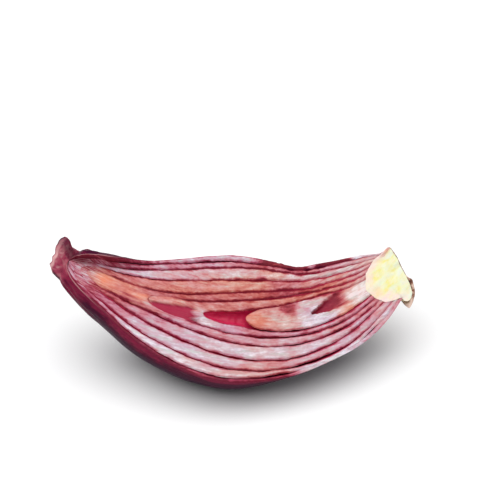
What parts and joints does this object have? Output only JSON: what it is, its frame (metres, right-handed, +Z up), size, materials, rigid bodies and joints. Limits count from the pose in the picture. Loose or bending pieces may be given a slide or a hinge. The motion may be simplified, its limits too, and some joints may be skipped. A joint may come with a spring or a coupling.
{
  "type": "cut dayak onion bulb",
  "caption": "Half of a slender red dayak onion bulb, cut lengthwise, showing crimson-edged nested scales, a pale basal plate and a papery purple skin with a short dried neck",
  "frame": {"origin": "on the ground, below the middle of the bulb's bounding box", "axes": "+X runs from the dried neck to the basal plate, +Y away from the side that the cut face tilts down to, +Z up"},
  "size_m": [0.0652, 0.0264, 0.0209],
  "materials": {
    "outer_skin": "satin papery skin, dark purple-crimson",
    "scale_flesh": "moist pink-white flesh with crimson edges",
    "bud_flesh": "moist peach flesh",
    "plate_flesh": "pale yellow fibrous flesh",
    "root_crown": "dry brown cork"
  },
  "bodies": {
    "root": {"outer_skin": "outer_skin", "scale_1": "scale_flesh", "scale_2": "scale_flesh", "scale_3": "scale_flesh", "scale_4": "scale_flesh", "scale_5": "scale_flesh", "inner_bud": "bud_flesh", "basal_plate": "plate_flesh", "root_crown": "root_crown"}
  },
  "joints": []
}
